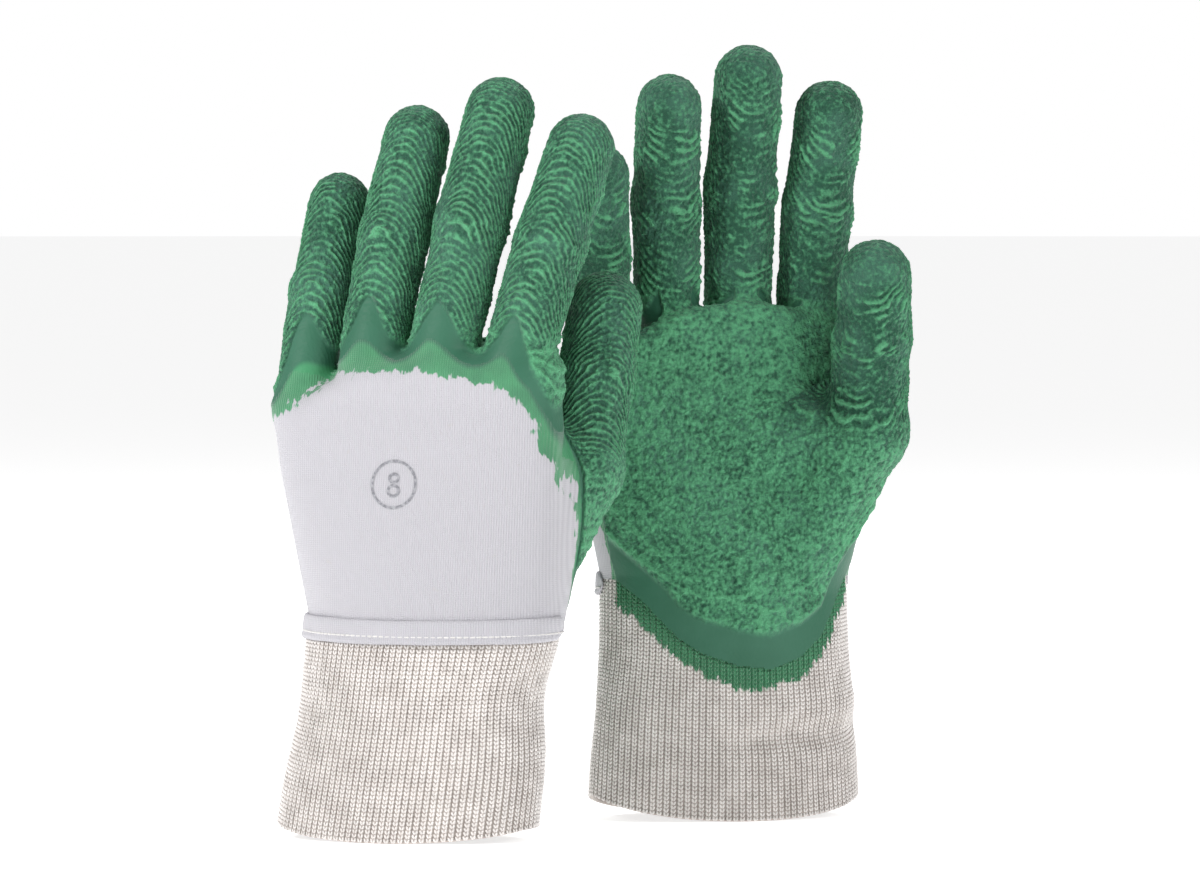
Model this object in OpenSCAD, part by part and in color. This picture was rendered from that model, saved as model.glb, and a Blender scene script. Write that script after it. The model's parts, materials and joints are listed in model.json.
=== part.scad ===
// Pair of latex-dipped cotton gardening gloves, standing on their cuffs in worn shape.
// Each glove: knitted cuff, sewn cotton liner, crinkled latex coat with an open back.
// Frame: +Z along the fingers, +X across the pair, gloves at -Y and +Y, floor at Z = 0.

/* [Hand] */
// Length from the wrist seam to the middle finger's base joint
palm_len = 94.5; // [80:0.5:115]
// Width of the cotton liner at the wrist seam
wrist_w = 82; // [70:1:94]
// Depth of the cotton liner at the wrist seam, back to palm
wrist_t = 50; // [42:1:58]
// Depth of the coated hand across the knuckles
knuckle_t = 31; // [28:1:38]
// Thickness of the crinkled latex coat
latex_wall = 1.3; // [0.8:0.1:2]
// Thickness of the cotton jersey
jersey_wall = 0.9; // [0.6:0.1:1.5]
// Clear gap between two layers of the glove
layer_gap = 0.1; // [0.05:0.05:0.3]

/* [Fingers] */
// Outer radius at the base of each digit: index, middle, ring, little, thumb
base_r = [11.3, 11.5, 11.1, 10.2, 12.6]; // [9:0.1:14]
// Outer radius near the tip of each digit
tip_r = [10.3, 10.4, 10.1, 9.0, 10.9]; // [8:0.1:13]
// Length from base joint to middle joint
lower_len = [27, 29, 27, 22, 24]; // [20:1:36]
// Length from middle joint to fingertip
tip_len = [42, 47, 43, 38, 33]; // [30:1:56]
// How far each base joint lies below the middle finger's
base_drop = [4, 0, 3, 15, 43]; // [0:1:40]
// Sideways splay of each digit, towards the thumb
splay = [3, 0, -2.5, -5, 1]; // [-8:0.5:10]
// Forward lean of each digit at its base
curl = [5, 5, 6, 8, 9]; // [0:1:15]
// Extra forward bend at the middle joint
mid_bend = 7; // [0:1:15]
// Clear gap between neighbouring fingers at the base
finger_gap = 1.7; // [1.2:0.1:3]

/* [Thumb] */
// Sideways place of the thumb's base joint from the middle of the hand
thumb_x = 40.5; // [36:0.5:48]
// Forward place of the thumb's base joint
thumb_y = 24; // [18:0.5:28]
// Turn of the thumb's bending direction towards the little finger
thumb_roll = 35; // [20:1:60]
// Radius of the padded thumb base beside the wrist
thenar_r = 16; // [13:0.5:19]

/* [Joints] */
// Furthest bend of each base joint
base_flex = [30, 45, 45, 45, 30]; // [20:1:60]
// Furthest bend of each middle joint
mid_flex = [70, 80, 80, 80, 55]; // [40:1:90]
// Furthest backward bend of the base joints
base_back = 10; // [5:1:15]

/* [Cuff] */
// Length of the knitted cuff below the wrist seam: left, right
cuff_len = [69.5, 78.5]; // [55:0.5:95]
// Thickness of the doubled rib knit
cuff_wall = 2.2; // [1.5:0.1:3]
// Width added to the cuff at its open end: left, right
cuff_flare = [3, 10]; // [0:0.5:12]
// How far the cuff's edge rises at its two sides: left, right
cuff_rise = [6, 10]; // [0:0.5:14]
// Height of the folded hem below the wrist seam
hem_h = 7.5; // [5:0.5:10]
// Thickness of the folded hem
hem_wall = 1.6; // [1.2:0.1:2.4]
// Thickness of the sewing thread
thread_d = 0.9; // [0.6:0.1:1.2]

/* [Coat] */
// Width of the uncoated window in the back, near its top
window_w = 76; // [60:1:84]
// Height of the window's upper edge over the wrist seam
window_h = 77; // [65:1:82]
// How far the palm's coat reaches down over the cuff
coat_drop = 35; // [16:1:40]

/* [Pair] */
// Distance between the middle planes of the two gloves
pair_gap = 96; // [90:1:130]
// Turn of each glove about its upright axis
glove_yaw = 18; // [0:1:25]
// Sideways lean of the four fingers: left, right
hand_lean = [12, 0]; // [-6:1:12]
// Sideways place of each wrist: left, right
wrist_x = [-49.4, 41.6]; // [-60:0.5:60]
// Sideways shift of each cuff's open end: left, right
cuff_shift = [-11, 0]; // [-14:1:6]
// Sideways shift of each row of knuckles: left, right
knuckle_shift = [-6, -6]; // [-10:1:6]

/* [Hidden] */
LEFT = 0;
RIGHT = 1;
SIDES = ["left", "right"];
DIGITS = ["index", "middle", "ring", "little", "thumb"];
THUMB = 4;
FINGERS = [0, 1, 2, 3];

latex = "#2f9e6a";
fold_green = "#27885a";
cotton = "#ecebe8";
rib_knit = "#d9d3c6";
thread = "#f2f0ea";

round_fn = 64;      // exact round pieces
section_fn = 36;    // points round a section of the hand
soft_fn = 20;       // faceted shells
slice = 0.2;        // thickness of a section used in a hull
far = 200;          // longer than any cut
joint_gap = 0.7;    // half the clear gap between two segments at a joint
spare_angle = 2;    // free angle left on each side of a joint's notch
notch_h = 60;       // height of the room cut for a digit's root
liner_start = 2;    // height of a stall's open end over its base joint
root_reach = 6;     // where a digit's tube leaves the palm's mass
tube_past = 2;      // how far a root runs past its joint before the notch is cut
cut_past = 20;      // how far the hollow of a shell runs past its open end
cuff_past = 5;      // the same for the cuff
heel_rise = 0.9;    // height of the thumb's ball over the wrist, in radii
hollow_at = 0.45;   // where the thumb's ball ends, as a share of the palm
side_seam = 2.3;    // how far the liner's side seams lie to the palm side
hem_split = 1;      // how far the hem's ends lie to the back of the middle
skirt_side = 1;     // where the coat's skirt ends at the sides of the wrist
edge_flat = 0.45;   // share of the cuff's edge that stands flat
edge_steps = 8;     // straight parts of each rising arc of the cuff's edge
window_side = 16;   // height at which the window's thumb side starts to lean in
window_wrap = 6;    // how far the window turns round the little finger's side
thumb_corner = 18;  // radii of the window's two upper corners
little_corner = 14;

function below(g) = cuff_len[g];
function depth_flare(g) = cuff_flare[g] / 3;     // depth added to the cuff at its open end
function hem_flare(g) = cuff_flare[g] / 4;       // width added to the hem over its height
function hinge_z(g, d) = below(g) + palm_len - base_drop[d];

// Fingers stand side by side, each a gap away from the next.
function row_width() = 2 * (base_r[0] + base_r[1] + base_r[2] + base_r[3]) + 3 * finger_gap;
function row_x(d) = d == 0 ? row_width() / 2 - base_r[0]
                           : row_x(d - 1) - base_r[d - 1] - finger_gap - base_r[d];
row_y = [0, -1, 0, 2.5, 0];
function hinge_x(g, d) = d == THUMB ? thumb_x : row_x(d) + knuckle_shift[g];
function hinge_y(d) = d == THUMB ? thumb_y : row_y[d];
function digit_lean(g, d) = d == THUMB ? splay[d] + max(0, hand_lean[g] / 2)
                                       : hand_lean[g] + splay[d];
function mid_r(d) = (base_r[d] + tip_r[d]) / 2;

knuckle_w = row_width();

// ---------- placement ----------

module glove(g)
    translate([wrist_x[g], (g == LEFT ? -1 : 1) * pair_gap / 2, 0])
        mirror([0, g == RIGHT ? 1 : 0, 0])
            rotate([0, 0, -glove_yaw])
                children();

// A digit's own frame: joint at the origin, +Z to the tip, +Y the way it bends.
module digit_frame(g, d)
    translate([hinge_x(g, d), hinge_y(d), hinge_z(g, d)])
        rotate([0, digit_lean(g, d), 0])
            rotate([-curl[d], 0, 0])
                rotate([0, 0, d == THUMB ? thumb_roll : 0])
                    children();

module mid_frame(g, d)
    digit_frame(g, d)
        translate([0, 0, lower_len[d]])
            rotate([-mid_bend, 0, 0])
                children();

// ---------- digits ----------

// Half profile of a digit from its base joint to its round tip.
function tip_arc(r, top) =
    [for (i = [0 : 7]) [r * cos(i * 90 / 7), top - r + r * sin(i * 90 / 7)]];
module lower_outline(d, inset, low, high)
    polygon([[0, low], [base_r[d] - inset, low], [base_r[d] - inset, 0],
             [mid_r(d) - inset, lower_len[d]], [mid_r(d) - inset, high], [0, high]]);
module tip_outline(d, inset, low)
    polygon(concat([[0, low], [mid_r(d) - inset, low], [mid_r(d) - inset, 0]],
                   tip_arc(tip_r[d] - inset, tip_len[d] - inset)));

module spun() rotate_extrude($fn = round_fn) children();

// Everything above a joint's notch: flat side at the back, open side in the bend.
module above_notch(flex, back, gap)
    rotate([90, 0, 90])
        linear_extrude(far, center = true)
            polygon([[0, gap], [far, gap + far * tan(flex / 2 + spare_angle)], [far, 2 * far],
                     [-far, 2 * far], [-far, gap + far * tan(back / 2 + spare_angle)]]);
module below_notch(flex, back, gap)
    mirror([0, 0, 1]) above_notch(flex, back, gap);

module lower_segment(g, d)
    digit_frame(g, d)
        intersection() {
            difference() {
                spun() lower_outline(d, 0, -base_r[d], lower_len[d] + base_r[d]);
                spun() lower_outline(d, latex_wall, -2 * base_r[d], lower_len[d] + 2 * base_r[d]);
            }
            above_notch(base_flex[d], base_back, joint_gap);
            translate([0, 0, lower_len[d]])
                rotate([-mid_bend / 2, 0, 0])
                    below_notch(mid_flex[d] + mid_bend, 0, joint_gap);
        }

module tip_segment(g, d)
    mid_frame(g, d)
        intersection() {
            difference() {
                spun() tip_outline(d, 0, -base_r[d]);
                spun() tip_outline(d, latex_wall, -2 * base_r[d]);
            }
            rotate([mid_bend / 2, 0, 0])
                above_notch(mid_flex[d] + mid_bend, 0, joint_gap);
        }

// The soft ring of latex that closes a joint's notch while the digit is straight.
module base_fold(g, d)
    digit_frame(g, d)
        difference() {
            spun() lower_outline(d, 0, -base_r[d], base_r[d]);
            spun() lower_outline(d, latex_wall, -2 * base_r[d], 2 * base_r[d]);
            above_notch(base_flex[d], base_back, joint_gap - layer_gap);
            below_notch(base_flex[d], base_back, joint_gap - layer_gap);
        }
// It stands out far enough to clear the bent cotton stall under it.
function fold_reach(d) = joint_gap + mid_r(d) * tan((mid_flex[d] + mid_bend) / 2 + spare_angle);
function fold_bulge(d) = layer_gap + fold_reach(d) * (tan(mid_bend / 2)
                         + (base_r[d] - mid_r(d)) / lower_len[d]);
module mid_fold(g, d)
    digit_frame(g, d)
        translate([0, 0, lower_len[d]])
            rotate([-mid_bend / 2, 0, 0])
                difference() {
                    r = mid_r(d) + fold_bulge(d);
                    cylinder(r = r, h = 3 * base_r[d], center = true, $fn = round_fn);
                    cylinder(r = r - latex_wall, h = 4 * base_r[d], center = true, $fn = round_fn);
                    above_notch(mid_flex[d] + mid_bend, 0, joint_gap - layer_gap);
                    below_notch(mid_flex[d] + mid_bend, 0, joint_gap - layer_gap);
                }

// Cotton stall inside a digit: one sleeve, from the hand over a round elbow to the closed tip.
module stall_form(g, d, inset, low) {
    digit_frame(g, d) {
        spun() lower_outline(d, inset, low, lower_len[d]);
        translate([0, 0, lower_len[d]]) sphere(mid_r(d) - inset, $fn = round_fn);
    }
    mid_frame(g, d) spun() tip_outline(d, inset, 0);
}
module liner(g, d)
    difference() {
        stall_form(g, d, latex_wall + layer_gap, liner_start);
        stall_form(g, d, latex_wall + layer_gap + jersey_wall, -liner_start);
    }

// ---------- hand ----------

// A superellipse of width w and depth t, shrunk by inset: square 2 is round, 4 nearly a box.
function swell(part, square) = sign(part) * pow(abs(part), 2 / square);
function section_points(w, t, inset, square) =
    [for (i = [0 : section_fn - 1])
        let (a = 360 * i / section_fn)
        [(w / 2 - inset) * swell(cos(a), square), (t / 2 - inset) * swell(sin(a), square)]];
module section(w, t, inset, square = 2)
    linear_extrude(slice) polygon(section_points(w, t, inset, square));
coat_side = latex_wall + layer_gap;      // from the liner's face to the coat's face
coat_w = wrist_w + 2 * coat_side;
coat_t = wrist_t + 2 * coat_side;

// Sections from wrist to knuckles: [share of the palm's height, share of the change in
// width, share of the change in depth, squareness].
SECTIONS = [[0, 0, 0, 2], [0.25, 0.5, 0.4, 2.3], [0.5, 1, 0.8, 2.6], [0.7, 1.1, 1, 2.9]];
LAST = len(SECTIONS) - 1;
function part_way(low, high, share) = low + (high - low) * share;
module hand_section(g, i, inset) {
    at = SECTIONS[i];
    translate([knuckle_shift[g] * at[0] / SECTIONS[LAST][0], 0, below(g) + at[0] * palm_len])
        section(part_way(coat_w, knuckle_w, at[1]), part_way(coat_t, knuckle_t, at[2]), inset, at[3]);
}

module digit_root(g, d, inset, reach)
    digit_frame(g, d)
        translate([0, 0, -reach])
            cylinder(r = base_r[d] - inset, h = slice, $fn = soft_fn);
module palm_form(g, inset, past) {
    for (i = [0 : LAST - 1])
        hull() {
            hand_section(g, i, inset);
            hand_section(g, i + 1, inset);
        }
    hull() {
        hand_section(g, LAST, inset);
        for (d = FINGERS) digit_root(g, d, inset, root_reach);
    }
    for (d = FINGERS)
        hull() {
            digit_root(g, d, inset, root_reach);
            digit_root(g, d, inset, -past);
        }
}
module hand_form(g, inset, past) {
    palm_form(g, inset, past);
    hull() {
        translate([wrist_w / 2 - thenar_r, wrist_t / 6, below(g) + thenar_r * heel_rise])
            sphere(thenar_r - inset, $fn = soft_fn);
        digit_root(g, THUMB, inset, 2 * root_reach);
        translate([0, 0, below(g) + palm_len * hollow_at])
            cylinder(r = knuckle_t / 2 - inset, h = slice, $fn = soft_fn);
    }
    hull() {
        digit_root(g, THUMB, inset, 2 * root_reach);
        digit_root(g, THUMB, inset, -past);
    }
}

// The coat's skirt follows the outside of the cuff below the wrist seam.
module skirt_form(g, inset, past)
    hull() {
        translate([0, 0, below(g)]) section(coat_w, coat_t, inset);
        translate([cuff_shift[g] * (coat_drop + past) / below(g), 0,
                   below(g) - coat_drop - past])
            section(coat_w + cuff_flare[g], coat_t + depth_flare(g), inset);
    }

// Outline of the uncoated back, seen from the back: it narrows from the whole width of the
// wrist to a rounded top, and runs off the little finger's side.
module window_outline(g)
    hull() {
        translate([-wrist_w, -far]) square([2 * wrist_w, far]);
        translate([0, window_side]) square([wrist_w / 2 + jersey_wall, 1]);
        translate([-wrist_w, 0]) square([1, window_h - little_corner]);
        translate([knuckle_shift[g] + window_w / 2 - thumb_corner, window_h - thumb_corner])
            circle(thumb_corner, $fn = soft_fn);
        translate([knuckle_shift[g] - window_w / 2 + little_corner, window_h - little_corner])
            circle(little_corner, $fn = soft_fn);
    }
// Everything behind the window on the back of the hand.
module window_cut(g)
    translate([0, 0, below(g)]) {
        rotate([90, 0, 0]) linear_extrude(far) window_outline(g);
        translate([-far - wrist_w / 4, window_wrap - far, -far])
            cube([far, far, far + window_h - 2 * little_corner]);
    }
// Keeps the palm side of the skirt, down to a round tongue over the cuff.
module skirt_keep(g)
    translate([0, skirt_side, below(g)])
        rotate([-90, 0, 0])
            linear_extrude(far)
                scale([1, 2 * coat_drop / coat_w]) circle(coat_w / 2, $fn = 2 * soft_fn);

module latex_coat(g)
    difference() {
        union() {
            hand_form(g, 0, tube_past);
            intersection() {
                skirt_form(g, 0, 0);
                skirt_keep(g);
            }
        }
        hand_form(g, latex_wall, cut_past);
        skirt_form(g, latex_wall, cut_past);
        window_cut(g);
        for (d = [0 : THUMB])
            digit_frame(g, d)
                notch_room(d);
    }
// Cuts a digit's root back to the lower face of its base joint's notch.
module notch_room(d)
    intersection() {
        rotate([90, 0, 90])
            linear_extrude(far, center = true)
                polygon([[0, -joint_gap], [far, -joint_gap - far * tan(base_flex[d] / 2 + spare_angle)],
                         [far, far], [-far, far],
                         [-far, -joint_gap - far * tan(base_back / 2 + spare_angle)]]);
        hull()
            for (y = [0, d == THUMB ? 0 : knuckle_t / 2])
                translate([0, y, 0])
                    cylinder(r = base_r[d] + finger_gap / 2, h = notch_h, center = true, $fn = soft_fn);
    }

// Cotton body of the hand, inside the coat, from the wrist seam to the finger roots.
module cotton_hand(g) {
    outer = latex_wall + layer_gap;
    difference() {
        palm_form(g, outer, 0);
        palm_form(g, outer + jersey_wall, cut_past);
        translate([-far / 2, -far / 2, below(g) - far]) cube([far, far, far + layer_gap]);
        for (d = FINGERS)
            digit_frame(g, d)
                translate([-base_r[d] - finger_gap, -knuckle_t, -root_reach - 1])
                    cube([2 * (base_r[d] + finger_gap), 2 * knuckle_t, palm_len]);
        digit_frame(g, THUMB)
            translate([0, 0, -root_reach - 1])
                cylinder(r = base_r[THUMB] + finger_gap, h = palm_len / 3, $fn = soft_fn);
    }
}
// The liner's side seams part it into a back and a palm panel.
module jersey_back(g)
    intersection() {
        cotton_hand(g);
        translate([-far / 2, side_seam - layer_gap - far, 0]) cube([far, far, 2 * far]);
    }
module jersey_palm(g)
    intersection() {
        cotton_hand(g);
        translate([-far / 2, side_seam, 0]) cube([far, far, 2 * far]);
    }

// ---------- cuff ----------

cuff_w = wrist_w - 2 * layer_gap;
cuff_t = wrist_t - 2 * layer_gap;
// A straight-sided tube from the wrist seam down to the flared open end.
module cuff_form(g, inset, past)
    hull() {
        translate([0, 0, below(g) - layer_gap + past]) section(cuff_w, cuff_t, inset);
        translate([-cuff_shift[g] * past / below(g) + cuff_shift[g], 0, -past])
            section(cuff_w + cuff_flare[g], cuff_t + depth_flare(g), inset);
    }
// The open end stands on its middle and rises in an arc towards the two sides.
module edge_rise(g) {
    half = (cuff_w + cuff_flare[g]) / 2;
    flat_half = half * edge_flat;
    for (s = [-1, 1])
        translate([cuff_shift[g], 0, 0])
            rotate([90, 0, 0])
                linear_extrude(far, center = true)
                    polygon(concat(
                        [for (i = [0 : edge_steps])
                            let (u = i / edge_steps)
                            [s * (flat_half + u * (half - flat_half)), cuff_rise[g] * u * u]],
                        [[s * far, cuff_rise[g]], [s * far, -far], [s * flat_half, -far]]));
}
module cuff(g)
    difference() {
        cuff_form(g, 0, 0);
        cuff_form(g, cuff_wall, cuff_past);
        edge_rise(g);
    }
// Folded lower edge of the jersey, stitched over the top of the cuff at the back.
module hem(g)
    intersection() {
        difference() {
            translate([0, 0, below(g) - hem_h])
                hull() {
                    section(cuff_w + 2 * (hem_wall + layer_gap) + hem_flare(g),
                            cuff_t + 2 * (hem_wall + layer_gap) + hem_flare(g) / 3, 0);
                    translate([0, 0, hem_h])
                        section(cuff_w + 2 * (hem_wall + layer_gap), cuff_t + 2 * (hem_wall + layer_gap), 0);
                }
            hull() {
                cuff_core(g, -far);
                cuff_core(g, far);
            }
        }
        translate([-far / 2, -far - hem_split, 0]) cube([far, far, far]);
    }
module cuff_core(g, z)
    translate([cuff_shift[g] * -z / below(g), 0, below(g) + z])
        section(cuff_w - cuff_flare[g] * z / below(g), cuff_t - depth_flare(g) * z / below(g),
                -layer_gap);

// Chain of seam thread round the back of the wrist.
module seam_thread(g)
    intersection() {
        translate([0, 0, below(g) - hem_h / 2])
            difference() {
                section_tube(cuff_w + 2 * (hem_wall + 2 * layer_gap + thread_d) + hem_flare(g),
                             cuff_t + 2 * (hem_wall + 2 * layer_gap + thread_d) + hem_flare(g) / 3, thread_d);
                section_tube(cuff_w + 2 * (hem_wall + 2 * layer_gap) + hem_flare(g),
                             cuff_t + 2 * (hem_wall + 2 * layer_gap) + hem_flare(g) / 3, far);
            }
        translate([-far / 2, -far - hem_split, 0]) cube([far, far, far]);
    }
module section_tube(w, t, h)
    linear_extrude(h, center = true) polygon(section_points(w, t, 0, 2));

// ---------- nodes ----------

HAND_NODES = ["cuff", "hem", "seam_thread", "jersey_back", "jersey_palm", "latex_coat", "base_folds"];
DIGIT_NODES = ["liner", "lower", "fold", "tip"];

for (g = [LEFT, RIGHT]) {
    side = str(SIDES[g], "_");
    color(rib_knit) glove(g) cuff(g);
    color(cotton) glove(g) hem(g);
    color(thread) glove(g) seam_thread(g);
    color(cotton) glove(g) jersey_back(g);
    color(cotton) glove(g) jersey_palm(g);
    color(latex) glove(g) latex_coat(g);
    color(fold_green) glove(g) for (d = [0 : THUMB]) base_fold(g, d);
    for (d = [0 : THUMB]) {
        digit = str(side, DIGITS[d], "_");
        color(cotton) glove(g) liner(g, d);
        color(latex) glove(g) lower_segment(g, d);
        color(fold_green) glove(g) mid_fold(g, d);
        color(latex) glove(g) tip_segment(g, d);
    }
}
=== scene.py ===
# %% [markdown]
# # A pair of latex-dipped gardening gloves
# Each glove is a white cotton jersey hand, dipped in green latex that crinkles as it
# cures, on a long rib-knit cuff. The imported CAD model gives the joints, the lengths and
# the thicknesses. This script gives the gloves their real skin.
#
# A glove has no flat face and no straight edge, so its skin is grown as one smooth
# implicit surface: a formula that is negative inside the hand and positive outside.
# One formula lets fingers, palm and thumb flow together, as a dipped skin does.

# %% Load the frame
import json
import math

import bpy
import numpy as np
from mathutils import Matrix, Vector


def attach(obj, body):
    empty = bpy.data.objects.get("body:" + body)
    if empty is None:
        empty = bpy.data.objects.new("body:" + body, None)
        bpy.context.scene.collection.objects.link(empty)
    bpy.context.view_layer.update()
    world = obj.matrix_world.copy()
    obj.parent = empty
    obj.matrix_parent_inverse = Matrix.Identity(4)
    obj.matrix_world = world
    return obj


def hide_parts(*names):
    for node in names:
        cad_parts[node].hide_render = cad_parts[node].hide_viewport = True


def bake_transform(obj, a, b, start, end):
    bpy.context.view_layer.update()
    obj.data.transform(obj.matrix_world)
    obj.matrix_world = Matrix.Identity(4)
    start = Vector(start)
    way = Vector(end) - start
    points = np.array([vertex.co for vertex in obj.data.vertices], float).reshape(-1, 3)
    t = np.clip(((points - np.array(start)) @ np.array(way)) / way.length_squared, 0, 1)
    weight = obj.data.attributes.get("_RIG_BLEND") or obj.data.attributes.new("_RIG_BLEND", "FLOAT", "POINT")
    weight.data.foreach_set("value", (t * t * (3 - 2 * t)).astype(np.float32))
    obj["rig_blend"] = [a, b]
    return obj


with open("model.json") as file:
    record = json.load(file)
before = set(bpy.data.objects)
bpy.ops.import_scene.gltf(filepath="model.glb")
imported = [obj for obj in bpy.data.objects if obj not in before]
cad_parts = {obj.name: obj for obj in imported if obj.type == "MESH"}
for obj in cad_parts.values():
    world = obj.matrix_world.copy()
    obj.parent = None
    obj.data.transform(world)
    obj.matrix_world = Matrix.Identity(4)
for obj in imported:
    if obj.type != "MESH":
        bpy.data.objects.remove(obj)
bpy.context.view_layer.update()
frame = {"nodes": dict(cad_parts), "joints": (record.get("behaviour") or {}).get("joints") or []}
joints = {j["name"]: j for j in frame["joints"]}
SIDES = ("left", "right")
DIGITS = ("index", "middle", "ring", "little", "thumb")
THUMB = 4
MM = 1000.0

# %% [markdown]
# ## Measuring the gloves
# Everything is worked out in millimetres in a glove's own axes: X runs across the hand
# towards the thumb, Y runs from the back of the hand to the palm, and Z runs up the
# fingers. The right-hand glove is the mirror of the left, so one set of rules serves
# both, and only the step back to the room's axes differs.

# %% Read points and joints
def node_points(name):
    """A CAD node's corners, in millimetres."""
    mesh = frame["nodes"][name].data
    co = np.empty(len(mesh.vertices) * 3)
    mesh.vertices.foreach_get("co", co)
    return co.reshape(-1, 3) * MM


def unit(v):
    return v / np.linalg.norm(v)


def unit_rows(v):
    return v / np.maximum(np.linalg.norm(v, axis=1)[:, None], 1e-9)


def add_object(name, data):
    """A new object at the origin of the scene."""
    made = bpy.data.objects.new(name, data)
    bpy.context.scene.collection.objects.link(made)
    return made


def measure_glove(side):
    """The glove's own axes, its wrist and its five digits."""
    hinge = np.array(joints[f"{side}_middle_base"]["axis"])
    across = hinge if side == "right" else -hinge
    x = unit(np.array([across[0], across[1], 0.0]))
    y = np.array([x[1], -x[0], 0.0]) if side == "right" else np.array([-x[1], x[0], 0.0])
    axes = np.array([x, y, [0.0, 0.0, 1.0]])
    cuff = node_points(f"{side}_cuff")
    seam = cuff[:, 2].max()
    top = cuff[cuff[:, 2] > seam - 1.5] @ axes.T
    middle = (top.min(0) + top.max(0)) / 2
    origin = np.array([middle[0], middle[1], 0.0]) @ axes
    foot = (cuff[cuff[:, 2] < 0.4 * seam] - origin) @ axes.T
    glove = {"side": side, "axes": axes, "origin": origin, "seam": seam,
             "wrist": (top.max(0) - top.min(0))[:2] / 2,
             "foot": (foot.max(0) - foot.min(0))[:2] / 2,
             "foot_shift": (foot.max(0) + foot.min(0))[0] / 2,
             "edge_rise": foot[foot[:, 2] < 30][:, 2].max(), "digits": []}
    for name in DIGITS:
        base, mid = (joints[f"{side}_{name}_{j}"] for j in ("base", "middle"))
        a = (np.array(base["pos_m"]) * MM - origin) @ axes.T
        b = (np.array(mid["pos_m"]) * MM - origin) @ axes.T
        hinge = unit(axes @ np.array(base["axis"]))
        if side == "right":
            hinge = -hinge
        up = unit(b - a)
        palmward = unit(np.cross(hinge, up))
        low = (node_points(f"{side}_{name}_lower") - origin) @ axes.T
        tip = (node_points(f"{side}_{name}_tip") - origin) @ axes.T
        end = tip[np.argmax(np.linalg.norm(tip - b, axis=1))]
        up2 = unit(end - b)
        off = low - a - np.outer((low - a) @ up, up)
        off2 = tip - b - np.outer((tip - b) @ up2, up2)
        high = (tip - b) @ up2 > 0.6 * np.linalg.norm(end - b)
        r0 = np.linalg.norm(off, axis=1).max()
        r2 = np.linalg.norm(off2[high], axis=1).max()
        glove["digits"].append({
            "name": name, "base": a, "mid": b, "end": end, "up": up, "up2": up2,
            "palmward": palmward, "side": np.cross(palmward, up), "hinge": hinge,
            "r0": r0, "r1": (r0 + r2) / 2, "r2": r2,
            "lower": np.linalg.norm(b - a), "upper": np.linalg.norm(end - b)})
    return glove


gloves = [measure_glove(side) for side in SIDES]
for glove in gloves:
    print(glove["side"], "seam height %.1f" % glove["seam"], "wrist", glove["wrist"].round(1),
          "index radii %.1f %.1f" % (glove["digits"][0]["r0"], glove["digits"][0]["r2"]))


def to_room(glove, points):
    """From a glove's own millimetres to metres in the shared frame."""
    return (points @ glove["axes"] + glove["origin"]) / MM


# %% [markdown]
# ## Smooth noise
# Crinkled latex is irregular at every scale. Value noise gives each corner of an
# imaginary lattice a fixed pseudo-random height and blends between them, so the same
# point always gets the same height, and the gloves come out the same in every run.

# %% Noise
HASH_PRIMES = (np.uint32(374761393), np.uint32(668265263), np.uint32(2246822519))


def noise(points, size, seed=0):
    """Smooth noise from -1 to 1 with features of the given size in millimetres."""
    q = points / size + 100.37
    cell = np.floor(q)
    f = q - cell
    f = f * f * (3 - 2 * f)
    c = cell.astype(np.int64).astype(np.uint32)
    total = np.zeros(len(q))
    for corner in np.ndindex(2, 2, 2):
        h = np.uint32(seed * 977 + 13)
        w = 1.0
        for axis, bit in enumerate(corner):
            h = (c[:, axis] + np.uint32(bit)) * HASH_PRIMES[axis] + h
            w = w * (f[:, axis] if bit else 1 - f[:, axis])
        h = (h ^ (h >> np.uint32(13))) * np.uint32(1274126177)
        h = h ^ (h >> np.uint32(16))
        total += w * ((h & np.uint32(0xFFFF)).astype(float) / 32767.5 - 1)
    return total


def step(low, high, value):
    """0 below low, 1 above high, and a smooth ramp between."""
    t = np.clip((value - low) / (high - low), 0, 1)
    return t * t * (3 - 2 * t)


# %% [markdown]
# ## The hand as a formula
# Tapered rods give the fingers. Flattened rings, lofted from the cuff to the knuckles,
# give the palm. Both are joined with a smooth minimum, which rounds the valley where
# two forms meet: a small one between the fingers and a wide one round the thumb.

# %% Rods, rings and smooth joins
PALM_LENGTH = 94.5
KNUCKLE_DEPTH = 15.5
COAT = 1.4
WEB_DROP = 8.5
WEB_SLOPE = 0.22
PALM_JOIN, THUMB_JOIN, FINGER_JOIN = 9.0, 4.0, 3.2


def rod(p, a, b, ra, rb):
    """Distance to a rod from a to b whose radius runs from ra to rb."""
    ab = b - a
    t = np.clip((p - a) @ ab / (ab @ ab), 0, 1)
    return np.linalg.norm(p - a - t[:, None] * ab, axis=1) - (ra + (rb - ra) * t)


def join(a, b, k):
    """The nearer of two surfaces, with the valley between them rounded over k."""
    h = np.clip(0.5 + 0.5 * (b - a) / k, 0, 1)
    return b + (a - b) * h - k * h * (1 - h)


def palm_rings(glove):
    """Heights over the seam with the centre, half width, half depth and squareness."""
    row = [d["base"][0] for d in glove["digits"][:THUMB]]
    half = (max(row) - min(row)) / 2 + glove["digits"][0]["r0"]
    shift = (max(row) + min(row)) / 2
    w, t = glove["wrist"] + COAT
    fw, ft = glove["foot"] + COAT
    fs, seam = glove["foot_shift"], glove["seam"]
    ladder = [(-seam, fs, fw, ft, 2.0), (0, 0, w, t, 2.0)]
    for share, wide, deep, square in ((0.25, 0.5, 0.4, 2.3), (0.5, 1, 0.8, 2.6),
                                      (0.7, 1.06, 1, 2.9), (1.2, 1.04, 1, 2.9)):
        ladder.append((share * PALM_LENGTH, shift * min(1, share / 0.7),
                       w + (half - w) * wide, t + (KNUCKLE_DEPTH - t) * deep, square))
    return np.array(ladder)


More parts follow.
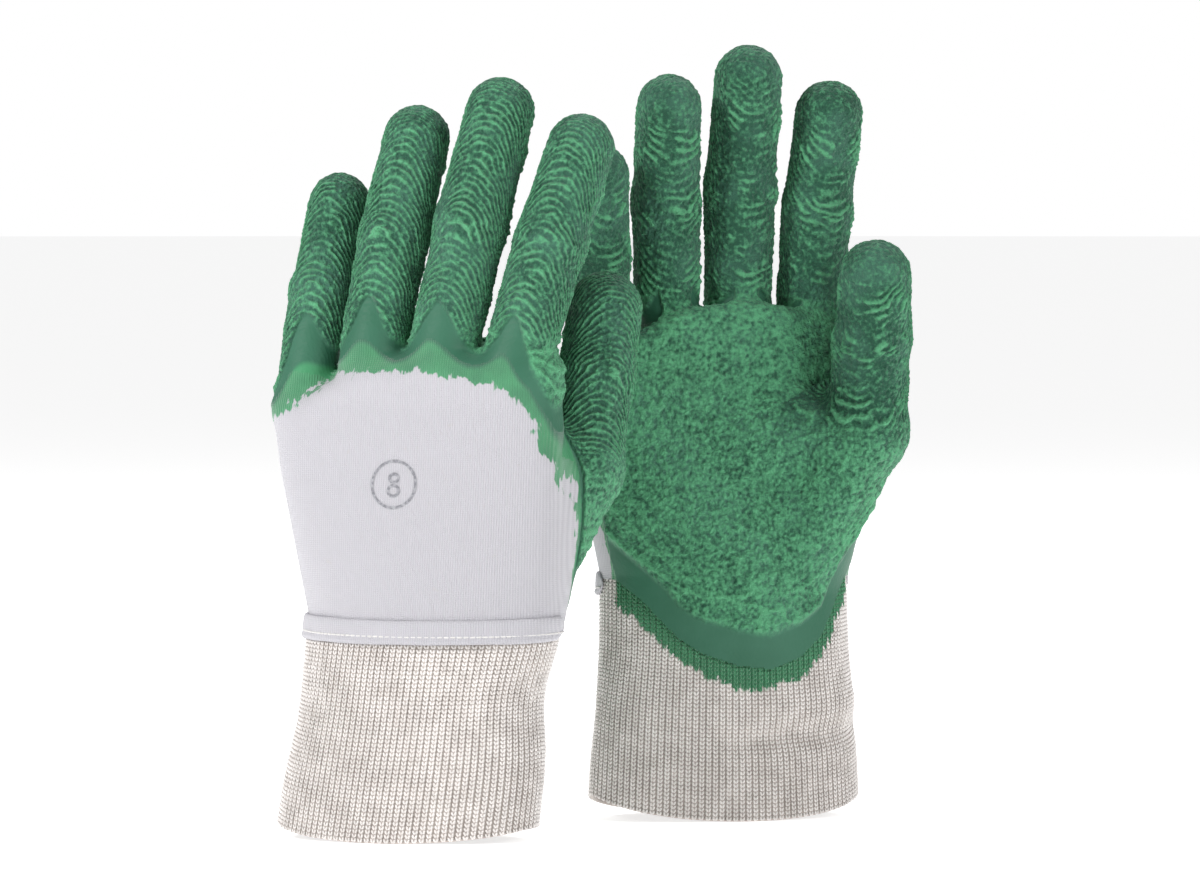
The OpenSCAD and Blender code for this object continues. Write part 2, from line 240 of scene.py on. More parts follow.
def palm_distance(glove, p):
    rings = palm_rings(glove)
    z = p[:, 2] - glove["seam"]
    cx, a, b, n = (np.interp(z, rings[:, 0], rings[:, i]) for i in (1, 2, 3, 4))
    x = np.abs(p[:, 0] - cx) + 1e-6
    y = np.abs(p[:, 1]) + 1e-6
    rho = ((x / a) ** n + (y / b) ** n) ** (1 / n)
    slope = rho ** (1 - n) * np.hypot(x ** (n - 1) / a ** n, y ** (n - 1) / b ** n)
    wall = (rho - 1) / np.maximum(slope, 1e-4)
    row = sorted((d["base"][0], d["base"][2]) for d in glove["digits"][:THUMB])
    web = np.interp(p[:, 0], [r[0] for r in row], [r[1] for r in row]) - WEB_DROP
    top = p[:, 2] - (web + WEB_SLOPE * p[:, 1])
    return -join(-wall, -top, 7.0)


def hand_distance(glove, p):
    """The whole gloved hand: negative inside, zero on the skin."""
    digits = glove["digits"]
    seam = glove["seam"]
    palm = palm_distance(glove, p)
    fingers = None
    for d in digits[:THUMB]:
        root = d["base"] - d["up"] * 16
        lower = rod(p, root, d["mid"], d["r0"] - 0.6, d["r1"])
        upper = rod(p, d["mid"], d["end"] - d["up2"] * d["r2"], d["r1"], d["r2"])
        both = join(lower, upper, 2.0)
        fingers = both if fingers is None else np.minimum(fingers, both)
    thumb = digits[THUMB]
    heel = np.array([glove["wrist"][0] - 16.0, 8.5, seam + 15.0])
    hollow = np.array([2.0, 3.0, seam + 0.45 * PALM_LENGTH])
    root = thumb["base"] - thumb["up"] * 6
    pad = join(rod(p, heel, root, 16.5, thumb["r0"]),
               rod(p, hollow, root, 13.0, thumb["r0"] - 1), 6.0)
    lower = rod(p, root, thumb["mid"], thumb["r0"] + 0.2, thumb["r1"])
    nail = thumb["end"] - thumb["up2"] * thumb["r2"]
    upper = rod(p, thumb["mid"], nail, thumb["r1"], thumb["r2"])
    palm = join(palm, pad, PALM_JOIN)
    palm = join(palm, join(lower, upper, 2.0), THUMB_JOIN)
    return join(palm, fingers, FINGER_JOIN)


# %% [markdown]
# ## From a formula to a mesh
# Surface nets look at a grid of small cells. Each cell that the surface passes through
# gets one corner of the mesh, at the mean of the places where the surface crosses its
# edges. The quads are then split in four, and every corner is slid on to the surface
# along the formula's slope, so the mesh is even and fine enough to carry the crinkles.

# %% Surface nets
GRID = 1.12


def surface_nets(values, low, pitch):
    shape = np.array(values.shape) - 1
    total = np.zeros((int(shape.prod()), 3))
    count = np.zeros(int(shape.prod()))
    quads = []
    for axis in range(3):
        others = [k for k in range(3) if k != axis]
        v = np.moveaxis(values, axis, 0)
        i, j, k = np.nonzero((v[:-1] < 0) != (v[1:] < 0))
        keep = (j > 0) & (j < v.shape[1] - 1) & (k > 0) & (k < v.shape[2] - 1)
        i, j, k = i[keep], j[keep], k[keep]
        start, stop = v[i, j, k], v[i + 1, j, k]
        crossing = np.empty((len(i), 3))
        crossing[:, axis] = i + start / (start - stop)
        crossing[:, others[0]], crossing[:, others[1]] = j, k
        cells = []
        for dj, dk in ((-1, -1), (0, -1), (0, 0), (-1, 0)):
            at = np.empty((len(i), 3), np.int64)
            at[:, axis], at[:, others[0]], at[:, others[1]] = i, j + dj, k + dk
            flat = (at[:, 0] * shape[1] + at[:, 1]) * shape[2] + at[:, 2]
            np.add.at(total, flat, crossing)
            np.add.at(count, flat, 1)
            cells.append(flat)
        quad = np.stack(cells, axis=1)
        outward = (start < 0) == (axis != 1)
        quad[~outward] = quad[~outward][:, ::-1]
        quads.append(quad)
    quads = np.concatenate(quads)
    used, quads = np.unique(quads, return_inverse=True)
    points = total[used] / count[used][:, None] * pitch + low
    return points, quads.reshape(-1, 4)


def split_quads(points, quads):
    """Every quad becomes four."""
    edges = np.sort(np.stack([quads, np.roll(quads, -1, axis=1)], axis=2).reshape(-1, 2), axis=1)
    pairs, which = np.unique(edges, axis=0, return_inverse=True)
    which = which.reshape(-1, 4) + len(points)
    centre = np.arange(len(quads)) + len(points) + len(pairs)
    points = np.concatenate([points, points[pairs].mean(axis=1), points[quads].mean(axis=1)])
    parts = [np.stack([quads[:, k], which[:, k], centre, which[:, k - 1]], axis=1) for k in range(4)]
    return points, np.concatenate(parts)


def slope_of(field, p, reach=0.15):
    g = np.empty_like(p)
    for axis in range(3):
        d = np.zeros(3)
        d[axis] = reach
        g[:, axis] = field(p + d) - field(p - d)
    return g / (2 * reach)


def settle(field, p, rounds):
    for _ in range(rounds):
        g = slope_of(field, p)
        p = p - (field(p) / np.maximum((g * g).sum(1), 0.05))[:, None] * g
    return p


def grow_skin(glove):
    field = lambda p: hand_distance(glove, p)
    ends = np.array([d["end"] for d in glove["digits"]])
    low = np.array([-58.0, -32.0, glove["seam"] - 46.0])
    reach = ends.max(axis=0)
    high = np.array([max(70.0, reach[0] + 14), max(46.0, reach[1] + 16), reach[2] + 4])
    ticks = [np.arange(a, b, GRID) for a, b in zip(low, high)]
    x, y = np.meshgrid(ticks[0], ticks[1], indexing="ij")
    layers = [field(np.column_stack([x.ravel(), y.ravel(), np.full(x.size, z)])).reshape(x.shape)
              for z in ticks[2]]
    points, quads = surface_nets(np.stack(layers, axis=2), low, GRID)
    points = settle(field, points, 1)
    points, quads = split_quads(points, quads)
    points = settle(field, points, 2)
    return points, quads, unit_rows(slope_of(field, points))


# %% [markdown]
# ## Where the latex ends
# The hand is dipped palm down, so the latex covers the palm and the fingers and leaves a
# window on the back. One number serves for everything near that edge: how far a point
# lies inside the latex, in millimetres. It is negative on bare cloth.

# %% Distance from the edge of the dip
WINDOW = np.array([(-80, -200), (-80, 58), (-50, 62), (-42, 68), (-30, 75.5), (-18, 77), (8, 76.5),
                   (22, 73), (31, 68), (36, 60), (40, 50), (45, 38), (50, 22), (54, 6), (62, -200)], float)
PALM_EDGE = np.array([(-60, 3), (-44, -4), (-36, -12), (-30, -19), (-23, -26), (-15, -32), (-4, -35.5),
                      (7, -36.5), (18, -33), (26, -27), (31, -18), (36, -10), (42, -2), (60, 4)], float)
WRAP = 7.0


def dip_distance(glove, p):
    """How far inside the latex a point lies."""
    x, z = p[:, 0], p[:, 2] - glove["seam"]
    away = np.full(len(p), 1e9)
    inside = np.zeros(len(p), bool)
    for a, b in zip(WINDOW, np.roll(WINDOW, -1, axis=0)):
        d = b - a
        t = np.clip(((x - a[0]) * d[0] + (z - a[1]) * d[1]) / (d @ d), 0, 1)
        away = np.minimum(away, np.hypot(x - a[0] - t * d[0], z - a[1] - t * d[1]))
        cross = (a[1] > z) != (b[1] > z)
        if a[1] != b[1]:
            inside ^= cross & (x < (b[0] - a[0]) * (z - a[1]) / (b[1] - a[1]) + a[0])
    back = np.where(inside, -away, away)
    edge = np.interp(x, PALM_EDGE[:, 0], PALM_EDGE[:, 1])
    past = p[:, 1] - WRAP
    palm = np.minimum((z - edge) * 0.85, past + 60 * step(4, 14, z - edge) * step(0, 6, past))
    return np.maximum(back, palm)


# %% [markdown]
# ## Which digit a point belongs to
# A finger's crinkles follow the finger, so each point of the skin is told its nearest
# digit, how far along that digit it lies, and how far to the palm side or to the thumb
# side of its middle line.

# %% Digit coordinates
def along_digits(glove, p):
    best = np.full(len(p), 1e9)
    out = {key: np.zeros(len(p)) for key in ("digit", "along", "depth", "lateral", "radius", "planar")}
    for number, d in enumerate(glove["digits"]):
        lower = rod(p, d["base"] - d["up"] * 30, d["mid"], d["r0"], d["r1"])
        upper = rod(p, d["mid"], d["end"] - d["up2"] * d["r2"], d["r1"], d["r2"])
        near = np.minimum(lower, upper)
        q, q2 = p - d["base"], p - d["mid"]
        planar = q @ d["up"]
        past = q2 @ d["up2"] > 0
        values = {"digit": np.full(len(p), number),
                  "along": np.where(past, d["lower"] + q2 @ d["up2"], np.minimum(planar, d["lower"])),
                  "depth": np.where(past, q2 @ unit(np.cross(d["hinge"], d["up2"])), q @ d["palmward"]),
                  "lateral": q @ d["side"], "radius": np.full(len(p), d["r1"]), "planar": planar}
        closer = near < best
        best[closer] = near[closer]
        for key, value in values.items():
            out[key][closer] = value[closer]
    return out


# %% [markdown]
# ## Crinkles
# As the dip cures, its skin shrinks and wrinkles. On a finger the wrinkles are slices
# through it at one steep slant: they arch over the back of the finger, run down its
# sides and hang in a bow on the palm side. A slanted slice is a plane, so its phase is
# only height plus a multiple of depth. On the palm the wrinkles are a fine crumple with
# a few long ridges that sweep round the ball of the thumb and follow the lower edge.

# %% Heights of the crinkles
SLANT = 2.0
WRINKLE = 2.6
CLOTH_SINK, FILM_LIFT, CRINKLE_LIFT = 0.95, 0.35, 0.6


def crest(phase, sharp):
    """A row of rounded ridges with wider valleys between them, from 0 to 1."""
    return (0.5 + 0.5 * np.cos(phase)) ** sharp


def film_edges(at, p):
    """How far from the dip's edge the soaked cloth ends, and where the crinkles begin."""
    bump = np.exp(-((at["lateral"] + 1.5) / np.where(at["lateral"] < -1.5, 5.0, 7.5)) ** 2)
    bump *= step(-34, -8, at["planar"]) * (at["digit"] < THUMB) * step(3, -5, p[:, 1])
    palm = step(2, 10, p[:, 1])
    wander = 1.2 * noise(p, 9.0, 5)
    soaked = 3.4 + 6.0 * bump + 1.5 * palm + 0.5 * wander
    crinkled = 6.5 + 15.5 * bump + 7.5 * palm + wander
    return soaked, crinkled


def thin_lines(a, b, size, width, seed):
    """Long wandering creases: the places where a stretched noise passes through zero."""
    here = np.stack([a, b, np.zeros(len(a))], axis=1)
    n = noise(here, size, seed)
    slope = np.abs(noise(here + np.array([0, 0.4, 0]), size, seed) - n) / 0.4
    return np.exp(-(n / (slope + 0.02) / width) ** 2)


def crinkle(glove, p, at, dip):
    r = at["radius"]
    back = np.clip(-at["depth"] / r, -1, 1)
    thumb = at["digit"] == THUMB
    on_digit = np.where(thumb, step(-12, 4, at["planar"]), step(-7, 3, at["planar"]))
    soaked, crinkled = film_edges(at, p)
    rough = step(0, 2.5, dip - crinkled)
    film = step(-0.8, 0.8, dip - soaked)
    whole = np.array([d["lower"] + d["upper"] for d in glove["digits"]])[at["digit"].astype(int)]
    tip_fade = step(2, 12, whole - at["along"])

    slices = at["along"] + SLANT * at["depth"] + 1.3 * noise(p, 7.0, 1) + 0.6 * noise(p, 2.6, 2)
    broken = np.clip(0.60 + 0.55 * noise(p * np.array([1, 1, 0.6]), 3.6, 3), 0.1, 1.2)
    arch = broken * step(-0.8, 0.2, back) * (0.55 + 0.45 * tip_fade)
    arches = crest(2 * np.pi * slices / WRINKLE, 1.8) * arch

    hang = at["along"] + 1.15 * at["depth"] + 1.9 * noise(p, 5.0, 4)
    joint = np.minimum(np.abs(at["along"] - 3), np.abs(at["along"] - 0.40 * whole))
    joint = np.minimum(joint, np.abs(at["along"] - 0.70 * whole))
    patchy = step(-0.35, 0.4, noise(p, 4.5, 6)) * (0.45 + 0.75 * step(8, 2, joint))
    bows = crest(2 * np.pi * hang / 3.1, 2.0) * patchy * step(0.15, -0.4, back) * tip_fade
    grain = 0.22 * noise(p, 1.3, 7) + 0.16 * noise(p, 0.85, 8)
    digit_height = 0.72 * arches + 0.95 * bows + grain * (0.8 + 0.7 * step(0.2, -0.4, back))

    ball = np.array([38.0, 30.0, glove["seam"] + 40.0])
    gone = p - ball
    sweep = np.linalg.norm(gone * np.array([1.0, 0.4, 1.0]), axis=1)
    turn = np.arctan2(gone[:, 2], -gone[:, 0]) * 30
    low_down = step(36, 14, dip)
    creases = thin_lines(p[:, 0] * 0.16, dip + 0.05 * p[:, 0], 5.2, 0.42, 9) * low_down
    creases += thin_lines(p[:, 0] * 0.3, dip - 0.35 * p[:, 0], 9.0, 0.40, 16) * low_down
    creases += thin_lines(turn * 0.2, sweep, 8.0, 0.36, 11) * step(26, 40, dip) * 0.45
    root = glove["digits"][THUMB]["base"]
    hole = np.array([root[0] - 11.0, 17.0, root[2] + 6.0])
    spoke = p - hole
    reach = np.hypot(spoke[:, 0], spoke[:, 2])
    spokes = crest(np.arctan2(spoke[:, 2], spoke[:, 0]) * 13 + 1.5 * noise(p, 5.0, 17), 1.5)
    spokes *= np.exp(-((reach - 7) / 5.0) ** 2) * step(3, 9, p[:, 1])
    crumple = 0.24 * noise(p * np.array([1, 1, 1.3]), 1.6, 12) + 0.20 * noise(p, 1.0, 13)
    arcs = np.zeros(len(p))
    for d in glove["digits"][:THUMB]:
        q = p - d["base"]
        u, v = q @ d["side"], q @ d["up"]
        ring = np.hypot(u, v - 1) + 1.1 * noise(p, 3.0, 14)
        for size, power in ((0.98, 0.5), (0.74, 0.42), (1.2, 0.25)):
            arcs += power * np.exp(-((ring - d["r0"] * size) / 0.7) ** 2) * step(2, -3, v)
    arcs *= step(4, 11, p[:, 1]) * (0.6 + 0.5 * noise(p, 4.0, 18))
    palm_height = 0.60 * np.clip(creases, 0, 1) + 1.25 * crumple + arcs + 0.5 * spokes

    height = (palm_height * (1 - on_digit) + digit_height * on_digit) * rough
    dimple = -3.2 * np.exp(-(reach / 7.0) ** 2) * step(6, 12, p[:, 1]) * (1 - on_digit)
    sunk = FILM_LIFT * film + CRINKLE_LIFT * rough - CLOTH_SINK
    slack = 0.45 * noise(p, 17.0, 15) * step(-6, 6, dip)
    # The tone is painted light: it rises with the height of the crinkle, so the latex shader paints the
    # crests lighter and the valleys darker, as painted highlight and painted shade.
    palm_light_level = 0.55 + 1.0 * crumple + 0.6 * np.clip(creases, 0, 1) + 0.7 * arcs + 0.5 * spokes
    digit_light_level = 0.13 + 0.85 * arches + 0.95 * bows + 0.8 * grain
    tone = palm_light_level * (1 - on_digit) + digit_light_level * on_digit
    more = {"film": film, "rough": rough, "tone": tone, "slices": slices, "arch": arch * on_digit}
    return sunk + height + slack + dimple, more


# %% Grow both skins
def surface_normals(points, quads):
    face = np.cross(points[quads[:, 2]] - points[quads[:, 0]], points[quads[:, 3]] - points[quads[:, 1]])
    out = np.zeros_like(points)
    for k in range(4):
        np.add.at(out, quads[:, k], face)
    return unit_rows(out)


for glove in gloves:
    points, quads, normals = grow_skin(glove)
    dip = dip_distance(glove, points)
    at = along_digits(glove, points)
    offset, more = crinkle(glove, points, at, dip)
    glove["skin"] = {"smooth": points, "points": points + normals * offset[:, None], "quads": quads}
    glove["measured"] = {"dip": dip, **more}
    glove["skin"]["normals"] = surface_normals(glove["skin"]["points"], quads)
    print(glove["side"], "skin:", len(points), "corners,", len(quads), "quads")


# %% [markdown]
# ## Cutting the skin into pieces that can bend
# The skin is one surface, but a finger has to bend at two joints, and a piece can only
# bend across one. So each digit has a root piece, which bends between the hand and the
# lower segment, and an end piece, which bends between the lower segment and the tip.
# Both pieces are rigid where they meet, so no gap opens. They share their edge points
# and their normals, so no line shows.

# %% Helpers that make a piece
def make_piece(name, glove, points, quads, normals=None, values=None):
    """A mesh object from a glove's own points, keeping only the points its faces use."""
    used, index = np.unique(quads, return_inverse=True)
    faces = index.reshape(quads.shape)
    if glove["side"] == "right":
        faces = faces[:, ::-1]
    mesh = bpy.data.meshes.new(name)
    mesh.from_pydata(to_room(glove, points[used]).tolist(), [], faces.tolist())
    mesh.shade_smooth()
    for key, value in (values or {}).items():
        layer = mesh.attributes.new(key, "FLOAT", "POINT")
        layer.data.foreach_set("value", value[used].astype(np.float32))
    if normals is not None:
        mesh.normals_split_custom_set_from_vertices((normals[used] @ glove["axes"]).tolist())
    return add_object(name, mesh)


def triangles(piece):
    return sum(len(p.vertices) - 2 for p in piece.data.polygons)


CUT_ROOT = -4.5
BLEND_ROOT = (-4.0, 12.5)
CUT_END = 13.5

# %% Cut the skins
for glove in gloves:
    side, skin = glove["side"], glove["skin"]
    points, quads, values = skin["points"], skin["quads"], glove["measured"]
    centre = skin["smooth"][quads].mean(axis=1)
    where = along_digits(glove, centre)
    face_dip = dip_distance(glove, centre)
    planar, digit = where["planar"], where["digit"]
    soaked, _ = film_edges(where, centre)
    height_over_seam = centre[:, 2] - glove["seam"]
    on_digit = planar > CUT_ROOT
    on_cloth = (face_dip < soaked + 1.0) & ~on_digit
    coat = ~on_digit & ~on_cloth & ((height_over_seam > -0.5) | (centre[:, 1] > 0))
    cloth = on_cloth & (height_over_seam > -1.0)
    glove["pieces"] = {}
    piece = make_piece(f"{side}_coat_skin", glove, points, quads[coat], skin["normals"], values)
    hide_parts(f"{side}_latex_coat", f"{side}_base_folds")
    glove["pieces"]["coat"] = [piece]
    jersey = make_piece(f"{side}_back_jersey", glove, points, quads[cloth], skin["normals"], values)
    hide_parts(f"{side}_jersey_back")
    glove["pieces"]["jersey"] = [jersey]
    for number, d in enumerate(glove["digits"]):
        name = f"{side}_{d['name']}"
        mine = on_digit & (digit == number)
        root = make_piece(name + "_root_skin", glove, points, quads[mine & (planar <= CUT_END)],
                          skin["normals"], values)
        end = make_piece(name + "_end_skin", glove, points, quads[mine & (planar > CUT_END)],
                         skin["normals"], values)
        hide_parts(name + "_lower", name + "_liner")
        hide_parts(name + "_tip", name + "_fold")
        spots = [to_room(glove, (d["base"] + d["up"] * s)[None])[0] for s in BLEND_ROOT]
        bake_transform(root, f"{side}_hand", name + "_lower", start=spots[0], end=spots[1])
        span = (CUT_END + 1, 2 * d["lower"] - CUT_END - 1)
        spots = [to_room(glove, (d["base"] + d["up"] * s)[None])[0] for s in span]
        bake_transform(end, name + "_lower", name + "_tip", start=spots[0], end=spots[1])
        glove["pieces"]["coat"] += [root, end]
    print(side, "coat %d, jersey %d, index root %d and end %d triangles" % tuple(
        triangles(o) for o in (piece, jersey, glove["pieces"]["coat"][1], glove["pieces"]["coat"][2])))


# %% [markdown]
# ## The rib-knit cuff
# A rib knit is columns of V-shaped stitches that stand up, with a groove between one
# column and the next. The cuff is a doubled tube: the outer wall turns in at the open
# end and comes back up inside. First comes the tube, with low ribs under the stitches,
# so that no light shows through between them.

# %% Shape of the cuff
RIB = 2.15
COURSE = 1.32
FOLD = 1.1


def cuff_ring(glove, turn, rise):
    """A point on the cuff's outer face. turn runs 0 to 1 round it, rise 0 to 1 up it."""
    seam = glove["seam"]
    angle = 2 * np.pi * turn
    c, s = np.cos(angle), np.sin(angle)
    lift = glove["edge_rise"] * (1 - np.sqrt(np.clip(1 - 0.97 * c * c, 0, 1))) * 0.93
    z = lift + (seam - lift) * rise
    down = 1 - z / seam
    half = glove["wrist"][:, None] + (glove["foot"] - glove["wrist"])[:, None] * down
    x = glove["foot_shift"] * down + half[0] * c
    y = half[1] * s
    pinch = np.exp(-((z - (seam - 24)) / 15.0) ** 2)
    x = x - (3.6 if glove["side"] == "left" else 1.2) * pinch * np.clip(c, 0, 1) ** 2
    x = x + 1.0 * pinch * np.clip(-c, 0, 1) ** 2
    p = np.stack([x, y, z], axis=-1)
    out = np.stack([c / half[0], s / half[1], np.zeros_like(c)], axis=-1)
    out /= np.linalg.norm(out, axis=-1)[..., None]
    wave = 0.55 * noise(p.reshape(-1, 3), 21.0, 30).reshape(z.shape)
    if glove["side"] == "right":
        level = z - 0.06 * x
        slump = 0.6 * np.exp(-((level - 36) / 5.0) ** 2) - 1.5 * np.exp(-((level - 26) / 4.0) ** 2)
        wave = wave + slump * step(-18, 12, x) * step(0, 10, y)
    tight = step(1.0, 0.93, rise)
    return p + out * (wave * tight)[..., None], out


def even_turns(glove, count):
    """Turns that space the ribs evenly round the flattened tube."""
    fine = np.linspace(0, 1, 721)
    ring, _ = cuff_ring(glove, fine, np.full(721, 0.5))
    length = np.concatenate([[0], np.cumsum(np.linalg.norm(np.diff(ring, axis=0), axis=1))])
    return np.interp(np.arange(count) / count * length[-1], length, fine), length[-1]


# %% Tubes
def grid_quads(rows, columns):
    """Quads of a tube with the given rows, closed round its columns."""
    i, j = np.meshgrid(np.arange(rows - 1), np.arange(columns), indexing="ij")
    a, b = i * columns + j, i * columns + (j + 1) % columns
    return np.stack([a, b, b + columns, a + columns], axis=-1).reshape(-1, 4)


for glove in gloves:
    side = glove["side"]
    _, around = even_turns(glove, 10)
    ribs = int(round(around / RIB))
    columns = ribs * 6
    turns, _ = even_turns(glove, columns)
    ribbed = 0.5 + 0.5 * np.cos(2 * np.pi * np.arange(columns) / 6)
    rows = []
    for rise in np.concatenate([np.linspace(0.985, 0.02, 34), [0.008]]):
        p, out = cuff_ring(glove, turns, np.full(columns, rise))
        rows.append(p + out * (-0.55 + 0.38 * ribbed)[:, None])
    foot, out = cuff_ring(glove, turns, np.zeros(columns))
    for angle in np.radians(np.linspace(10, 170, 8)):
        deep, drop = FOLD * (1 - math.cos(angle)), FOLD * math.sin(angle)
        rows.append(foot - out * (deep + 0.25) + np.array([0, 0, FOLD + 0.05 - drop]))
    for rise in (0.03, 0.08, 0.2, 0.4, 0.6, 0.8, 0.985):
        p, out = cuff_ring(glove, turns, np.full(columns, rise))
        rows.append(p - out * (2.45 - 0.2 * ribbed)[:, None])
    tube = np.concatenate(rows)
    quads = grid_quads(len(rows), columns)[:, ::-1]
    closing = grid_quads(2, columns)[:, ::-1]
    closing = np.where(closing >= columns, closing - columns, closing + (len(rows) - 1) * columns)
    quads = np.concatenate([quads, closing])
    values = {"dip": dip_distance(glove, tube), "rib": np.tile(ribbed, len(rows))}
    piece = make_piece(f"{side}_cuff_tube", glove, tube, quads, values=values)
    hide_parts(f"{side}_cuff")
    glove["pieces"]["knit"] = [piece]
    glove["ribs"] = ribs
    print(side, "cuff:", ribs, "ribs,", round(around, 1), "mm round,", triangles(piece), "triangles")


# %% [markdown]
# ## Stitches
# There are thousands of stitches, all alike, so they are made with Geometry Nodes. One
# small V of two strands is modelled. A cloud of points says where each stitch
# sits and how it is turned, and the node tree puts a V on every point. Each V has only
# 32 triangles. The instances are then made real, because a plain mesh is what travels.

# %% One knitted V and one sewn stitch
def strand(a, b, radius, flat=0.75):
    """A closed spindle of yarn from a to b with four sides."""
    a, b = np.array(a, float), np.array(b, float)
    along = unit(b - a)
    out = np.array([0.0, 0.0, 1.0])
    wide = np.cross(along, out)
    ring = [wide, out * flat, -wide, -out * flat]
    mid = [a + (b - a) * 0.24 + w * radius for w in ring] + [a + (b - a) * 0.76 + w * radius for w in ring]
    mid = [p + out * radius * 0.35 for p in mid]
    points = [a] + mid + [b]
    faces = []
    for k in range(4):
        n = (k + 1) % 4
        faces += [(0, 1 + n, 1 + k), (1 + k, 1 + n, 5 + n, 5 + k), (9, 5 + k, 5 + n)]
    return points, faces


def small_mesh(name, strands):
    points, faces = [], []
    for p, f in strands:
        faces += [tuple(i + len(points) for i in face) for face in f]
        points += [tuple(q / MM) for q in p]
    mesh = bpy.data.meshes.new(name)
    mesh.from_pydata(points, [], faces)
    mesh.shade_smooth()
    return add_object(name, mesh)


knit_v = small_mesh("knit_v", [strand((0.10, -0.62, -0.1), (0.80, 0.86, 0), 0.36),
                               strand((-0.10, -0.62, -0.1), (-0.80, 0.86, 0), 0.36)])
sewn = small_mesh("sewn_stitch", [strand((-1.15, 0, -0.15), (1.15, 0, -0.15), 0.34, 0.9)])
print("knitted V:", triangles(knit_v), "triangles, sewn stitch:", triangles(sewn))


# %% A node tree that sews a shape on to points
def stitch_tree():
    tree = bpy.data.node_groups.new("set_stitches", "GeometryNodeTree")
    face = tree.interface
    face.new_socket("Places", in_out="INPUT", socket_type="NodeSocketGeometry")
    face.new_socket("Stitch", in_out="INPUT", socket_type="NodeSocketObject")
    face.new_socket("Looseness", in_out="INPUT", socket_type="NodeSocketFloat").default_value = 0.06
    face.new_socket("Yarn", in_out="INPUT", socket_type="NodeSocketMaterial")
    face.new_socket("Stitches", in_out="OUTPUT", socket_type="NodeSocketGeometry")
    make, link = tree.nodes.new, tree.links.new
    given, result = make("NodeGroupInput"), make("NodeGroupOutput")
    shape = make("GeometryNodeObjectInfo")
    shape.inputs["As Instance"].default_value = True
    link(given.outputs["Stitch"], shape.inputs["Object"])
    turn = make("GeometryNodeInputNamedAttribute")
    turn.data_type = "FLOAT_VECTOR"
    turn.inputs["Name"].default_value = "turn"
    loose = make("FunctionNodeRandomValue")
    loose.data_type = "FLOAT_VECTOR"
    loose.inputs[0].default_value = (-1, -1, -1)
    loose.inputs[1].default_value = (1, 1, 1)
    loose.inputs["Seed"].default_value = 11
    scaled = make("ShaderNodeVectorMath")
    scaled.operation = "SCALE"
    link(loose.outputs[0], scaled.inputs[0])
    link(given.outputs["Looseness"], scaled.inputs["Scale"])
    summed = make("ShaderNodeVectorMath")
    link(turn.outputs[0], summed.inputs[0])
    link(scaled.outputs[0], summed.inputs[1])
    place = make("GeometryNodeInstanceOnPoints")
    link(given.outputs["Places"], place.inputs["Points"])
    link(shape.outputs["Geometry"], place.inputs["Instance"])
    link(summed.outputs[0], place.inputs["Rotation"])
    real = make("GeometryNodeRealizeInstances")
    link(place.outputs[0], real.inputs[0])
    dress = make("GeometryNodeSetMaterial")
    link(real.outputs[0], dress.inputs["Geometry"])
    link(given.outputs["Yarn"], dress.inputs["Material"])
    link(dress.outputs[0], result.inputs[0])
    return tree


sew = stitch_tree()


def set_stitches(name, glove, places, along, out, shape, yarn, values=None):
    """Puts a stitch on every place, its X along and its Z out, and returns a plain mesh."""
    spots = to_room(glove, places)
    z = unit_rows(out @ glove["axes"])
    x = along @ glove["axes"]
    x = unit_rows(x - z * (x * z).sum(1)[:, None])
    y = np.cross(z, x)
    pitch = np.arcsin(np.clip(-x[:, 2], -1, 1))
    roll = np.arctan2(y[:, 2], z[:, 2])
    yaw = np.arctan2(x[:, 1], x[:, 0])
    mesh = bpy.data.meshes.new(name + "_places")
    mesh.from_pydata(spots.tolist(), [], [])
    layer = mesh.attributes.new("turn", "FLOAT_VECTOR", "POINT")
    layer.data.foreach_set("vector", np.stack([roll, pitch, yaw], axis=1).astype(np.float32).ravel())
    for key, value in (values or {}).items():
        mesh.attributes.new(key, "FLOAT", "POINT").data.foreach_set("value", value.astype(np.float32))
    cloud = add_object(name + "_places", mesh)
    modifier = cloud.modifiers.new("stitches", "NODES")
    modifier.node_group = sew
    sockets = {i.name: i.identifier for i in sew.interface.items_tree if i.in_out == "INPUT"}
    modifier[sockets["Stitch"]] = shape
    modifier[sockets["Yarn"]] = yarn
    graph = bpy.context.evaluated_depsgraph_get()
    real = bpy.data.meshes.new_from_object(cloud.evaluated_get(graph), depsgraph=graph)
    real.name = name
    cloud.modifiers.remove(modifier)
    bpy.data.objects.remove(cloud)
    return add_object(name, real)


# %% [markdown]
# ## Materials
# The materials come before the stitches, because the node tree gives every stitch its
# yarn. Some of them read numbers that were measured on the mesh: how high a point
# stands in the crinkle and how far it lies inside the dip.

# %% Material helpers
def new_material(name, roughness, sheen=0.0):
    material = bpy.data.materials.new(name)
    material.use_nodes = True
    nodes = material.node_tree.nodes
    nodes.clear()
    shader = nodes.new("ShaderNodeBsdfPrincipled")
    out = nodes.new("ShaderNodeOutputMaterial")
    material.node_tree.links.new(shader.outputs[0], out.inputs[0])
    shader.inputs["Roughness"].default_value = roughness
    shader.inputs["Sheen Weight"].default_value = sheen
    return material, shader


